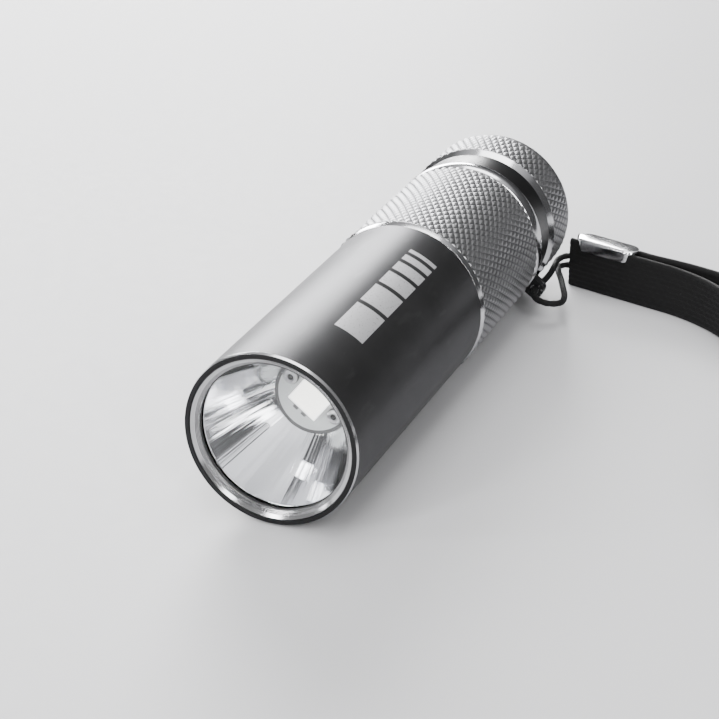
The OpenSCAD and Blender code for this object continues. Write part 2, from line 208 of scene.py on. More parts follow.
def satin_barrel():
    """Bead-blasted grey anodising, a front face painted near black as a painted dark reflection, a
    bright chamfer and a row of printed bars.
    """
    f = Finish("satin_barrel", Metallic=0.9, Specular_Tint=(0.6, 0.6, 0.61, 1))
    station, radius, angle = f.axes()
    blast = f.grain(0.11, 4)
    cloud = f.grain(9, 3)
    scuffs = f.ramp(f.grain(2.4, 6, (0.35, 1, 1)), (0.60, grey(0)), (0.74, grey(1)))
    colour = f.ramp(cloud, (0.3, grey(0.070)), (0.7, grey(0.088)))
    colour = f.mix(f.math("MULTIPLY", blast, 0.35), colour, grey(0.10))
    colour = f.mix(f.math("MULTIPLY", scuffs, 0.10), colour, grey(0.30))
    bars = 0.0
    start = BARS_FRONT
    for width in BAR_WIDTHS:
        bars = f.math("ADD", bars, f.band(station, start, start + width))
        start += width + BAR_GAP
    mark = f.math("MULTIPLY", bars, f.band(angle, *BAR_ANGLES))
    mark = f.math("MULTIPLY", mark, f.math("GREATER_THAN", radius, HEAD_R - 0.1))
    worn = f.ramp(f.grain(0.35, 5), (0.28, grey(0.55)), (0.42, grey(1)))
    colour = f.mix(f.math("MULTIPLY", mark, worn), colour, grey(0.62))
    # Painted reflection: the flat front face is painted near black, standing in for a dark reflection
    # in it.
    face = f.math("MULTIPLY", f.math("LESS_THAN", station, 0.03),
                  f.math("LESS_THAN", radius, FACE_R))
    colour = f.mix(face, colour, grey(0.022))
    cut = f.math("MULTIPLY", f.band(station, 0.0, FACE_CHAMFER + 0.02),
                 f.math("GREATER_THAN", radius, FACE_R))
    colour = f.mix(cut, colour, grey(0.55))
    rough = f.blend(cloud, 0.36, 0.44)
    rough = f.blend(f.math("MULTIPLY", mark, 0.8), rough, 0.6)
    rough = f.blend(face, rough, 0.3)
    rough = f.blend(cut, rough, 0.2)
    depth = f.math("MULTIPLY", blast, f.math("SUBTRACT", 1.0, cut))
    return f.done(colour, rough, f.bump(depth, 0.012, 0.55))


def knurled_silver():
    """Silver anodising: bright turned bands; the knurl's grooves are painted darker than its tops as
    painted shade, and are rougher, with patches of dirt in them.
    """
    f = Finish("knurled_silver", Metallic=1.0, Specular_Tint=(0.5, 0.5, 0.51, 1))
    station, radius, _ = f.axes()
    blast = f.grain(0.09, 3)
    cloud = f.grain(7, 3)
    # Painted shade: the knurl's grooves are painted darker than its tops.
    high = f.fade(radius, GRIP_R - KNURL_DEPTH, GRIP_R - 0.04)
    colour = f.mix(high, grey(0.20), grey(0.40))
    colour = f.mix(f.math("MULTIPLY", cloud, 0.25), colour, grey(0.30))
    turned = f.math("ADD", f.band(station, HEAD_BACK - 1, HEAD_BACK + CHAMFER),
                    f.band(station, GRIP_BACK + 0.3, CAP_FRONT + CAP_CHAMFER), clamp=True)
    colour = f.mix(turned, colour, grey(0.68))
    grime = f.ramp(f.grain(1.3, 5), (0.52, grey(0)), (0.75, grey(1)))
    low = f.math("SUBTRACT", 1.0, high)
    dirt = f.math("MULTIPLY", f.math("MULTIPLY", grime, low), f.math("SUBTRACT", 1.0, turned))
    colour = f.mix(f.math("MULTIPLY", dirt, 0.5), colour, grey(0.14))
    rough = f.blend(high, 0.50, 0.40)
    rough = f.blend(turned, rough, f.blend(cloud, 0.12, 0.20))
    marks = f.lines(station, 0.05)
    height = f.blend(turned, blast, f.math("MULTIPLY", marks, 0.4))
    return f.done(colour, rough, f.bump(height, 0.008, 0.5))


def dark_ring():
    """Black anodising, with the outer bevel cut bright and painted highlights along the edges of the
    turned steps.
    """
    f = Finish("dark_ring", Metallic=0.85, Specular_IOR_Level=0.5)
    station, radius, _ = f.axes()
    marks = f.lines(radius, 0.035)
    bevel = f.math("MULTIPLY", f.band(station, 0.12, LIP_BACK - 0.01),
                   f.math("LESS_THAN", radius, FLANGE_R - 0.05))
    # Painted highlights: a bright stripe along each turned step's edge, darker between the stripes.
    step = f.math("DIVIDE", f.math("SUBTRACT", BEVEL_R, radius), (BEVEL_R - LIP_R) / BEVEL_STEPS)
    edge = f.math("LESS_THAN", f.math("FRACT", f.math("ADD", step, 0.05)), 0.3)
    stairs = f.mix(edge, grey(0.09), grey(0.75))
    bright = f.mix(f.math("LESS_THAN", radius, BEVEL_R), grey(0.45), stairs)
    colour = f.mix(f.grain(3, 4), grey(0.015), grey(0.024))
    colour = f.mix(bevel, colour, bright)
    rough = f.blend(bevel, f.blend(marks, 0.26, 0.36), 0.13)
    return f.done(colour, rough, f.bump(marks, 0.006, 0.4))


def dark_collar():
    """Stamped collar with a black finish that is slightly worn along the lug."""
    f = Finish("dark_collar", Metallic=0.9)
    _, radius, _ = f.axes()
    worn = f.ramp(f.grain(0.5, 6), (0.56, grey(0)), (0.68, grey(1)))
    reach = f.fade(radius, 14.5, 17)
    colour = f.mix(f.math("MULTIPLY", worn, reach), grey(0.035), grey(0.4))
    rough = f.blend(f.grain(0.8, 4), 0.28, 0.42)
    return f.done(colour, rough, f.bump(f.grain(0.2, 4), 0.01, 0.4))


def turned_metal(name, level, rough_low, rough_high):
    """Bare machined metal with fine tool marks around its axis."""
    f = Finish(name, Metallic=1.0)
    station, radius, _ = f.axes()
    marks = f.lines(f.math("ADD", station, radius), 0.06)
    colour = f.mix(f.grain(4, 3), grey(level), grey(level * 0.86))
    return f.done(colour, f.blend(marks, rough_low, rough_high), f.bump(marks, 0.006, 0.5))


def mirror():
    """Vacuum-metallised plastic with a faint haze, moulding lines and ripples that streak outwards."""
    f = Finish("mirror", Metallic=1.0)
    station, _, angle = f.axes()
    haze = f.grain(2.5, 5)
    round_axis = f.node("CombineXYZ", {"X": f.math("COSINE", angle), "Y": f.math("SINE", angle)})
    facets = f.node("TexNoise", {"Vector": round_axis.outputs[0], "Scale": 8.0, "Detail": 4.0})
    rings = f.lines(station, 0.5)
    colour = f.mix(haze, grey(0.96), grey(0.91))
    rough = f.fade(haze, 0.45, 0.75, 0.010, 0.035)
    ripple = f.bump(facets.outputs[0], 0.16, 0.6)
    return f.done(colour, rough, f.bump(rings, 0.004, 0.25, ripple))


def clear_lens():
    """Coated glass that lets the lamps' light through to the reflector."""
    f = Finish("clear_lens", IOR=1.36, Transmission_Weight=1.0)
    smear = f.ramp(f.grain(6, 5), (0.55, grey(0)), (0.8, grey(1)))
    f.done((0.97, 0.98, 0.98), f.blend(smear, 0.0, 0.02))
    output = f.tree.nodes["Material Output"]
    open_to_lamps = f.node("BsdfTransparent", {"Color": (0.93, 0.94, 0.94)})
    shadow_ray = f.node("LightPath").outputs["Is Shadow Ray"]
    both = f.node("MixShader", {"Fac": shadow_ray})
    f.feed(both.inputs[1], f.shader.outputs[0])
    f.feed(both.inputs[2], open_to_lamps.outputs[0])
    f.feed(output.inputs["Surface"], both.outputs[0])
    return f.material


def rubber():
    """Matt black moulded rubber with a fine pebbled skin and a little dust."""
    f = Finish("rubber", Specular_IOR_Level=0.35)
    pebbles = f.grain(0.12, 3)
    dust = f.ramp(f.grain(1.8, 6), (0.5, grey(0)), (0.75, grey(1)))
    colour = f.mix(f.math("MULTIPLY", dust, 0.4), grey(0.014), grey(0.05))
    return f.done(colour, f.blend(dust, 0.52, 0.72), f.bump(pebbles, 0.02, 0.5))


def plastic(name, colour, rough):
    """Moulded plastic with flow lines and a faint orange-peel skin."""
    f = Finish(name, Specular_IOR_Level=0.45)
    peel = f.grain(0.35, 2)
    flow = f.grain(5, 4, (0.2, 1, 1))
    shade = f.mix(f.math("MULTIPLY", flow, 0.3), colour, [c * 0.7 for c in colour])
    return f.done(shade, f.blend(flow, rough, rough + 0.12), f.bump(peel, 0.008, 0.4))


def emitter():
    """White ceramic package with a pale phosphor square under silicone, all given a painted glow by a
    little emission so that it reads bright white.
    """
    # Painted glow: the whole package emits light, though the LED is not a lamp in this scene.
    f = Finish("emitter", Specular_IOR_Level=0.6, Coat_Weight=0.6, Coat_Roughness=0.06,
               Emission_Color=(1, 0.98, 0.93, 1), Emission_Strength=2.0)
    station, _, _ = f.axes()
    lit = f.math("LESS_THAN", station, BOARD_FRONT - 0.72)
    speckle = f.grain(0.08, 4)
    phosphor = f.mix(speckle, (0.95, 0.94, 0.88), (0.90, 0.88, 0.78))
    colour = f.mix(lit, f.mix(speckle, grey(0.80), grey(0.72)), phosphor)
    return f.done(colour, f.blend(lit, 0.38, 0.22), f.bump(speckle, 0.006, 0.3))


def board_mask(name, colour):
    """Uneven solder mask, with painted shade in a dark ring at the reflector's opening, and two dark
    pads inside it.
    """
    f = Finish(name, Specular_IOR_Level=0.5, Coat_Weight=0.3, Coat_Roughness=0.2)
    station, radius, angle = f.axes()
    weave = f.grain(0.25, 2)
    # Painted shade: a dark ring where the reflector's edge meets the board.
    ring = f.math("MULTIPLY", f.band(radius, BOWL_BASE_R - 0.55, BOWL_BASE_R + 0.3),
                  f.math("LESS_THAN", station, BOARD_FRONT + 1.3))
    shade = f.mix(f.grain(1.5, 4), colour, [c * 0.85 for c in colour])
    shade = f.mix(ring, shade, grey(0.03))
    turned = f.math("SUBTRACT", angle, BOARD_ANGLE)
    along = f.math("ABSOLUTE", f.math("MULTIPLY", radius, f.math("COSINE", turned)))
    beside = f.math("MULTIPLY", radius, f.math("SINE", turned))
    pads = f.math("MULTIPLY", f.band(along, 0.35, 1.15), f.band(beside, -3.65, -3.15))
    shade = f.mix(pads, shade, grey(0.05))
    return f.done(shade, f.blend(f.grain(2, 3), 0.34, 0.46), f.bump(weave, 0.006, 0.4))


def screw_steel():
    """Bright pan heads, with painted shade in the recess and below the edge."""
    f = Finish("screw_steel", Metallic=0.9)
    station, _, _ = f.axes()
    front = span("board_screws")[0]
    # Painted shade: the recess and the parts below the head's edge are painted near black.
    shade = f.fade(station, front + 0.12, front + 0.3)
    marks = f.grain(0.12, 3)
    colour = f.mix(shade, f.mix(marks, grey(0.5), grey(0.38)), grey(0.02))
    return f.done(colour, f.blend(marks, 0.25, 0.4), f.bump(marks, 0.005, 0.4))


def spring_wire():
    """Drawn steel wire with fine marks along it."""
    f = Finish("spring_wire", Metallic=1.0)
    marks = f.grain(0.15, 4, (0.3, 1, 1))
    return f.done(f.mix(marks, grey(0.62), grey(0.5)), f.blend(marks, 0.18, 0.32),
                  f.bump(marks, 0.005, 0.4))


def brass():
    """Bare brass, tarnished in patches."""
    f = Finish("brass", Metallic=1.0)
    tarnish = f.grain(1.6, 6)
    colour = f.ramp(tarnish, (0.35, (0.80, 0.62, 0.30)), (0.7, (0.52, 0.36, 0.14)))
    return f.done(colour, f.blend(tarnish, 0.2, 0.42), f.bump(f.grain(0.2, 3), 0.005, 0.3))


def cell_wrap():
    """Plain shrink wrap with a copper-coloured band at one end, and bare metal on both ends."""
    f = Finish("cell_wrap", Specular_IOR_Level=0.5, Coat_Weight=0.5, Coat_Roughness=0.12)
    station, _, _ = f.axes()
    front, back, _ = span("cell_1")
    copper = f.band(station, front + 1.2, front + 11)
    ends = f.math("SUBTRACT", 1.0, f.band(station, front + 1.02, back - 0.04))
    wrinkle = f.grain(1.2, 4, (0.3, 1, 1))
    colour = f.mix(copper, f.mix(wrinkle, (0.02, 0.028, 0.04), (0.035, 0.045, 0.06)),
                   (0.42, 0.17, 0.07))
    colour = f.mix(ends, colour, grey(0.6))
    return f.done(colour, f.blend(wrinkle, 0.22, 0.36), f.bump(wrinkle, 0.02, 0.3), ends)


def polished_clip():
    """Polished stamped steel with fine scratches along it."""
    f = Finish("polished_clip", Metallic=1.0)
    scratches = f.ramp(f.grain(0.25, 6, (1, 0.12, 1)), (0.55, grey(0)), (0.68, grey(1)))
    cloud = f.grain(3, 3)
    colour = f.mix(scratches, grey(0.85), grey(0.62))
    rough = f.math("ADD", f.blend(cloud, 0.1, 0.17), f.math("MULTIPLY", scratches, 0.12))
    return f.done(colour, rough, f.bump(scratches, 0.004, 0.4))


def nylon(name):
    """Black nylon yarn: strands run across the yarn attribute, with a soft sheen and stray lint."""
    f = Finish(name, Specular_IOR_Level=0.12, Sheen_Weight=0.06, Sheen_Roughness=0.4,
               Sheen_Tint=(0.6, 0.6, 0.62, 1))
    yarn = f.node("Attribute", attribute_name="yarn").outputs["Vector"]
    strands = f.grain(0.16, 3, (0.25, 1, 1), yarn)
    lint = f.ramp(f.grain(0.5, 8), (0.66, grey(0)), (0.8, grey(1)))
    colour = f.mix(strands, grey(0.003), grey(0.012))
    colour = f.mix(f.math("MULTIPLY", lint, 0.3), colour, grey(0.08))
    return f.done(colour, f.blend(strands, 0.5, 0.75), f.bump(strands, 0.05, 0.7))


# ---------- building pieces ----------

# Front group
FACE_R = HEAD_R - 0.15          # outer edge of the head tube's flat front face
FACE_CHAMFER = 0.5
FLANGE_R = 13.1                 # bezel ring's flange, which the head tube's flat face surrounds
FLANGE_BACK = 0.8
SLEEVE_R = 12.9                 # thread on the bezel ring's sleeve
SLEEVE_BORE_R = 12.45           # bezel ring's bore around the lens
SLEEVE_BACK = 7
BEVEL_R = 12.47                 # inner edge of the bezel ring's outer bevel
BEVEL_BACK = 0.47
BEVEL_STEPS = 4                 # fine turned steps between the bevel and the lip
LIP_R = 11.9
LIP_BACK = 1.15
BOWL_R = 11.75                  # reflector's rim
BOWL_BASE_R = 5.9               # reflector's opening around the emitter
CHAMBER_R = 12.9                # head tube's bore around the reflector
SINK_SHOULDER = 17.4            # the heat sink's flange rests here

# Printed bars on the head tube
BARS_FRONT = 14.6
BAR_WIDTHS = (9.0, 6.4, 4.4, 3.0, 1.9, 1.1)
BAR_GAP = 1.15
BAR_ANGLES = (math.radians(51.5), math.radians(72.5))

# Grip, ring, neck and tail cap
CHAMFER = 1.0                   # turned chamfer in front of the grip's knurling
CAP_CHAMFER = 1.2
CAP_EDGE_R = 2.2                # rounding of the tail cap's rear edge
KNURL_DEPTH = 0.18
KNURL_LINES = 64                # grooves of each hand around the grip
KNURL_FLAT = 0.35               # share of each diamond that its flat top keeps
TURNS = 4 * KNURL_LINES         # segments of the lathe rings that meet the knurling
UNDERCUT = 0.8
RING_LENGTH = 3.2
BULGE = 0.9                     # height of the polished ring's rounded back
NECK_R = 12.7
GRIP_BACK = HEAD_BACK + 28.8
RING_FRONT = GRIP_BACK + UNDERCUT
RING_BACK = RING_FRONT + RING_LENGTH
TAIL_GROOVE_R = 12.1            # floor of the tail O-ring's groove
TUBE_RING_R = 12.15             # inner radius of the O-ring between the two tubes
BUTTON_R = 5.8


class Shell:
    """Surface about the beam axis, built ring by ring."""

    def __init__(self):
        self.verts = []
        self.faces = []

    def point(self, station, radius, angle):
        self.verts.append(((FRONT_X - station) * MM, radius * math.cos(angle) * MM,
                           (AXIS_Z + radius * math.sin(angle)) * MM))
        return len(self.verts) - 1

    def ring(self, station, radius, count):
        """A ring of points, or one point on the axis. radius may be a function of the angle."""
        if radius == 0:
            return [self.point(station, 0, 0)]
        shape = radius if callable(radius) else lambda angle: radius
        return [self.point(station, shape(TAU * k / count), TAU * k / count) for k in range(count)]

    def join(self, first, second):
        """Faces between two rings."""
        count = max(len(first), len(second))
        for k in range(count):
            corners = [first[k % len(first)], first[(k + 1) % len(first)],
                       second[(k + 1) % len(second)], second[k % len(second)]]
            self.faces.append(list(dict.fromkeys(corners)))

    def lathe(self, profile, count, after=None):
        """Turns (station, radius) points and returns the last ring. after is the ring before them."""
        for station, radius in profile:
            ring = self.ring(station, radius, count)
            if after:
                self.join(after, ring)
            else:
                self.first = ring
            after = ring
        return after

    def closed(self, profile, count):
        """A closed solid of revolution, or one whose outline starts and ends on the axis."""
        last = self.lathe(profile, count)
        if len(last) > 1 or len(self.first) > 1:
            self.join(last, self.first)
        return self

    def knurl(self, front, back, radius, rows, after):
        """Diamond knurling from the ring after, over an even number of half diamonds."""
        half = (back - front) / rows
        step = TAU / KNURL_LINES
        low = radius - KNURL_DEPTH

        def shift(row):
            return (row % 2) / 2

        crossing = [[self.point(front + row * half, low, (k + shift(row)) * step)
                     for k in range(KNURL_LINES)] for row in range(rows + 1)]
        edge_rings = {0: [], rows: []}
        for row in range(rows + 1):
            for k in range(KNURL_LINES):
                middle = (k + 0.5 + shift(row)) * step
                here = front + row * half
                west, east = crossing[row][k], crossing[row][(k + 1) % KNURL_LINES]
                west_top = self.point(here, radius, middle - KNURL_FLAT * step / 2)
                east_top = self.point(here, radius, middle + KNURL_FLAT * step / 2)
                across = (k + row % 2) % KNURL_LINES
                tops = []
                for side in (-1, 1):
                    if not 0 <= row + side <= rows:
                        continue
                    tip = crossing[row + side][across]
                    tip_top = self.point(here + side * KNURL_FLAT * half, radius, middle)
                    tops.append(tip_top)
                    self.faces.append([west, tip, tip_top, west_top])
                    self.faces.append([tip, east, east_top, tip_top])
                if len(tops) == 2:
                    self.faces.append([west_top, tops[0], east_top, tops[1]])
                else:
                    centre = self.point(here, radius, middle)
                    self.faces.append([west_top, tops[0], centre])
                    self.faces.append([centre, tops[0], east_top])
                    edge_rings[row] += [west, west_top, centre, east_top]
        self.join(after, edge_rings[0])
        return edge_rings[rows]


def rounded(*corners, steps=4):
    """Outline through (station, radius, rounding) corners, each rounded to its own radius."""
    outline = []
    for k, (station, radius, rounding) in enumerate(corners):
        here = Vector((station, radius))
        if not rounding:
            outline.append(tuple(here))
            continue
        before = Vector(corners[k - 1][:2]) - here
        after = Vector(corners[(k + 1) % len(corners)][:2]) - here
        reach = rounding / math.tan(before.angle(after) / 2)
        reach = min(reach, 0.45 * before.length, 0.45 * after.length)
        start, end = here + before.normalized() * reach, here + after.normalized() * reach
        for n in range(steps + 1):
            t = n / steps
            outline.append(tuple((1 - t) ** 2 * start + 2 * t * (1 - t) * here + t * t * end))
    return outline


def arc(station, radius, size, start, end, steps=8):
    """Points on a circle in the outline's plane; angle 0 points away from the axis, 90 to the back."""
    angles = [math.radians(start + (end - start) * k / steps) for k in range(steps + 1)]
    return [(station + size * math.sin(a), radius + size * math.cos(a)) for a in angles]


def piece(name, verts, faces, body, finish, stands_for=(), sharp=32):
    """Makes a closed mesh object that rides on a body and takes its finish from a slot."""
    mesh = bpy.data.meshes.new(name)
    mesh.from_pydata(verts, [], faces)
    mesh.materials.append(finish)
    shape = bmesh.new()
    shape.from_mesh(mesh)
    bmesh.ops.remove_doubles(shape, verts=shape.verts, dist=0.0005 * MM)
    bmesh.ops.recalc_face_normals(shape, faces=shape.faces)
    shape.to_mesh(mesh)
    shape.free()
    mesh.shade_smooth()
    mesh.set_sharp_from_angle(angle=math.radians(sharp))
    made = bpy.data.objects.new(name, mesh)
    bpy.context.scene.collection.objects.link(made)
    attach(made, body)
    if stands_for:
        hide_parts(*stands_for)
    return made


def turned_piece(name, outline, finish, body="light_body", count=192):
    """Solid of revolution that stands for the node of the same name."""
    shell = Shell().closed(outline, count)
    return piece(name + "_detail", shell.verts, shell.faces, body, finish, [name])


# ---------- cords: the strap and the thin cord ----------

STRAP_HEIGHT = 9.5
STRAP_THICKNESS = 1.1
YARNS = 9                       # warp yarns across the webbing
LAYER_GAP = 2.5                 # distance between the two layers' middles at the clip
LAYER_ENDS = (-7.4, 0, 6.6)     # places along the clip that each layer passes
CLIP_PLACE = Vector((-51.4, 21.7))
CLIP_TURN = math.radians(73.5)
CORD_R = 0.6
LOOP_ROUTE = [
    (-47.5, 30.5), (-45.2, 37.5), (-41, 44.5), (-34, 51.5), (-23, 57), (-9, 60.5), (6, 62.5),
    (21, 65), (34, 71), (42, 82), (41, 95), (31, 104), (18, 107), (4, 104), (-9, 97), (-21, 87),
    (-31, 75), (-39, 61.5), (-44.5, 49.5), (-48.2, 39), (-50, 30.8)]
CORD_ROUTE = [
    (-52.45, 18.15, 5.3), (-53.2, 15.6, 5.3), (-53.5, 14.4, 5.3), (-53.1, 12.9, 5.2),
    (-51.6, 12.0, 4.9), (-49, 12.1, 4.6), (-45.2, 12.4, 4.5), (-41.2, 12.4, 4.7),
    (-37.4, 12.3, 5.03), (-34.8, 12.6, 5.0), (-32.8, 14.1, 4.8), (-32.6, 16.4, 4.5),
    (-34.6, 18.0, 4.2), (-38.5, 17.4, 3.8), (-43, 15.7, 3.4), (-47.2, 14.0, 3.2),
    (-50.2, 12.6, 3.2), (-52.1, 12.1, 3.3), (-53.2, 13.0, 3.4), (-53.5, 14.4, 3.5),
    (-53.2, 15.6, 3.5), (-52.45, 18.15, 3.5)]


def clip_point(along, across):
    """Point beside the clip's middle line."""
    direction = Vector((math.cos(CLIP_TURN), math.sin(CLIP_TURN)))
    side = Vector((-direction.y, direction.x))
    return CLIP_PLACE + along * direction + across * side


def smooth_route(points, steps):
    """Catmull-Rom curve through a list of points."""
    points = [Vector(p) for p in points]
    curve = []
    for k in range(len(points) - 1):
        a, b, c = points[max(k - 1, 0)], points[k], points[k + 1]
        d = points[min(k + 2, len(points) - 1)]
        for n in range(steps):
            t = n / steps
            curve.append(0.5 * (2 * b + (c - a) * t + (2 * a - 5 * b + 4 * c - d) * t * t
                                + (3 * b - a - 3 * c + d) * t ** 3))
    return curve + [points[-1]]


def evenly(curve, step):
    """The same curve with points at equal distances of about step, and its length."""
    marks = [0.0]
    for a, b in zip(curve, curve[1:]):
        marks.append(marks[-1] + (b - a).length)
    total = marks[-1]
    count = round(total / step)
    out = []
    k = 0
    for n in range(count + 1):
        at = total * n / count
        while k < len(marks) - 2 and marks[k + 1] < at:
            k += 1
        out.append(curve[k].lerp(curve[k + 1], (at - marks[k]) / (marks[k + 1] - marks[k])))
    return out, total


def direction_at(curve, k):
    """Unit direction of the curve at its point k."""
    return (curve[min(k + 1, len(curve) - 1)] - curve[max(k - 1, 0)]).normalized()


def store_yarn(made, values):
    """Keeps each point's place along and across the yarn, for the nylon's strands."""
    layer = made.data.attributes.new("yarn", "FLOAT_VECTOR", "POINT")
    for item, value in zip(layer.data, values):
        item.vector = value


def sleeve_mesh(rings):
    """Vertices and faces of a tube through equal rings, closed at both ends."""
    size = len(rings[0])
    verts = [tuple(point * MM) for ring in rings for point in ring]
    faces = []
    for n in range(len(rings) - 1):
        for k in range(size):
            a, b = n * size + k, n * size + (k + 1) % size
            faces.append([a, b, b + size, a + size])
    last = (len(rings) - 1) * size
    faces.append(list(range(size)))
    faces.append(list(range(last + size - 1, last - 1, -1)))
    return verts, faces


def weave(along, across):
    """Height of the webbing's face, from 0 to 1: warp yarns that float over every other weft."""
    float_length = 1.7
    column = across * YARNS
    yarn = math.floor(column)
    offset = 2 * (column - yarn) - 1
    hill = abs(math.sin(math.pi * (along / float_length + 0.5 * (yarn % 2))))
    return (1 - offset * offset) ** 0.5 * (0.35 + 0.65 * hill ** 0.6)


def wrist_strap():
    """Webbing that stands on its edge, woven in relief, with raw ends in the clip."""
    ends = [clip_point(a, -LAYER_GAP / 2) for a in LAYER_ENDS]
    backs = [clip_point(a, LAYER_GAP / 2) for a in reversed(LAYER_ENDS)]
    curve, length = evenly(smooth_route(ends + LOOP_ROUTE + backs, 12), 0.42)
    relief, edge = 0.16, 0.35
    columns, edge_steps = 27, 4
    half = STRAP_THICKNESS / 2
    rings, yarn = [], []
    for n, place in enumerate(curve):
        ahead = direction_at(curve, n)
        side = Vector((-ahead.y, ahead.x, 0))
        along = length * n / (len(curve) - 1)
        # Away from the clip the strap leans a little to one side or the other
        free = min(1.0, max(0.0, (min(along, length - along) - 22) / 20))
        lean = free * 0.5 * noise.noise(Vector((along * 0.035, 0, 3.1)))
        ring = []
        for face in (1, -1):
            for k in range(columns + 1):
                across = k / columns if face > 0 else 1 - k / columns
                height = edge + (STRAP_HEIGHT - 2 * edge) * across
                start = 0.6 if face < 0 else 0
                bulge = half - relief + relief * weave(along + start, across * 0.9999)
                sway = lean * (across - 0.5) * 2
                ring.append(Vector((place.x, place.y, 0)) + side * (face * bulge + sway)
                            + Vector((0, 0, height)))
                yarn.append((along, across * YARNS, face))
            top = face > 0
            for k in range(1, edge_steps):
                turn = math.pi * k / edge_steps
                bump = edge * (0.86 + 0.14 * abs(math.sin(math.pi * along / 0.85)))
                height = STRAP_HEIGHT - edge if top else edge
                across = 1 if top else 0
                out = (half - relief) * math.cos(turn) * face
                lift = bump * math.sin(turn) * face
                sway = lean * (across - 0.5) * 2
                ring.append(Vector((place.x, place.y, height + lift)) + side * (out + sway))
                yarn.append((along, across * YARNS + turn, face))
        rings.append(ring)
    verts, faces = sleeve_mesh(rings)
    made = piece("wrist_strap_webbing", verts, faces, "light_body", nylon("webbing_nylon"),
                 ["wrist_strap"], 60)
    store_yarn(made, yarn)
    route_height = 5
    path = [(p.x * MM, p.y * MM, route_height * MM) for p in curve]
    return made, path, length


def loop_cord():
    """Thin braided cord from between the layers, through the lug and back."""
    curve, length = evenly(smooth_route(CORD_ROUTE, 10), 0.16)
    sides, pitch, relief = 16, 1.5, 0.09
    rings, yarn = [], []
    for n, place in enumerate(curve):
        ahead = direction_at(curve, n)
        up = (Vector((0, 0, 1)) - ahead * ahead.z).normalized()
        side = ahead.cross(up)
        along = length * n / (len(curve) - 1)
        ring = []
        for k in range(sides):
            angle = TAU * k / sides
            left = math.sin(4 * angle + TAU * along / pitch)
            right = math.sin(4 * angle - TAU * along / pitch)
            radius = CORD_R - relief * (1 - max(left, right, 0))
            ring.append(place + (up * math.sin(angle) + side * math.cos(angle)) * radius)
            yarn.append((along, 8 * angle / TAU, 0))
        rings.append(ring)
    verts, faces = sleeve_mesh(rings)
    made = piece("loop_cord_braid", verts, faces, "light_body", nylon("cord_nylon"),
                 ["loop_cord"], 60)
    store_yarn(made, yarn)
    return made, [tuple(p * MM) for p in curve[::4]] + [tuple(curve[-1] * MM)], length


def strap_clip():
    """Folded metal clip over the strap's upper edge, with rounded ends and bends."""
    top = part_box("strap_clip")[1][2] / MM
    half_length, half_width, skirt, lid, wall = 6.3, 2.1, 2.2, 0.5, 0.24
    sections = 29
    rings = []
    for n in range(sections):
        t = math.sin(math.pi / 2 * (2 * n / (sections - 1) - 1))
        along = half_length * t
        past = max(0.0, abs(along) - (half_length - half_width))
        width = math.sqrt(max(half_width ** 2 - past ** 2, 0.06 ** 2))
        drop = max(skirt * (1 - (max(past - 0.5, 0.0) / 0.7) ** 2), lid)
        bend = min(0.55, width * 0.8)
        outer, inner = [], []
        for side in (-1, 1):
            for k in range(5):
                turn = math.pi / 2 * k / 4 if side < 0 else math.pi / 2 * (1 - k / 4)
                out = side * (width - bend + bend * math.cos(turn))
                outer.append((out, top - bend + bend * math.sin(turn)))
                thin = max(bend - wall, 0.05)
                out = side * (width - bend + thin * math.cos(turn))
                inner.append((out, top - bend + thin * math.sin(turn)))
        foot = [(-width, top - drop), (-max(width - wall, 0.03), top - drop)]
        other = [(max(width - wall, 0.03), top - drop), (width, top - drop)]
        section = [foot[0]] + outer + [other[1], other[0]] + inner[::-1] + [foot[1]]
        ring = []
        for across, z in section:
            flat = clip_point(along, across)
            ring.append(Vector((flat.x, flat.y, z)))
        rings.append(ring)
    verts, faces = sleeve_mesh(rings)
    return piece("strap_clip_metal", verts, faces, "light_body", polished_clip(),
                 ["strap_clip"], 40)


cord, cord_path, cord_length = loop_cord()
strap, strap_path, strap_length = wrist_strap()
clip = strap_clip()


# ---------- the turned body ----------

def battery_tube(finish):
    """Grip, polished ring, neck and tail thread in one piece."""
    thread_r, pitch, thread_depth = 12.6, 1.0, 0.5
    ring_front, ring_back, _ = span("tail_o_ring")
    groove_front, groove_back = ring_front - FIT_GAP, ring_back + FIT_GAP
    shell = Shell()
    ring = shell.lathe(rounded(
        (TUBE_FRONT, BORE_R, 0.2), (TUBE_FRONT, NECK_R, 0.3), (HEAD_BACK, NECK_R, 0),
        (HEAD_BACK, GRIP_R - 0.42, 0.06), (HEAD_BACK + CHAMFER - 0.1, GRIP_R - 0.15, 0),
        (HEAD_BACK + CHAMFER, GRIP_R - 0.12, 0)),
        TURNS)
    ring = shell.knurl(HEAD_BACK + CHAMFER + 0.12, GRIP_BACK - 0.1, GRIP_R, 24, ring)
    bulge = [(RING_FRONT + RING_LENGTH / 2 * (1 - math.cos(math.pi * k / 16)),
              GRIP_R - BULGE + BULGE * math.sin(math.pi * k / 16)) for k in range(17)]
    ring = shell.lathe(
        [(GRIP_BACK, GRIP_R - KNURL_DEPTH), (GRIP_BACK, GRIP_R - BULGE), (RING_FRONT, GRIP_R - BULGE)]
        + bulge + [(RING_BACK, NECK_R), (CAP_FRONT, NECK_R), (CAP_FRONT + 0.1, thread_r),
                   (groove_front, thread_r), (groove_front, TAIL_GROOVE_R),
                   (groove_back, TAIL_GROOVE_R)],
        TURNS, ring)
    rows = 32
    start, end = groove_back, TUBE_BACK - 0.15
    for row in range(rows + 1):
        station = start + (end - start) * row / rows
        ends = min(1.0, 4 * row / rows, 4 * (rows - row) / rows)

        def threaded(angle):
            phase = (station / pitch + angle / TAU) % 1
            return thread_r - thread_depth * (1 - ends * min(1, 1.6 * (1 - abs(2 * phase - 1))))

        ring = shell.lathe([(station, threaded)], TURNS, ring)
    ring = shell.lathe([(TUBE_BACK, thread_r - thread_depth - 0.15), (TUBE_BACK, BORE_R)],
                       TURNS, ring)
    shell.join(ring, shell.first)
    return piece("battery_tube_knurled", shell.verts, shell.faces, "light_body", finish,
                 ["battery_tube"], 28)


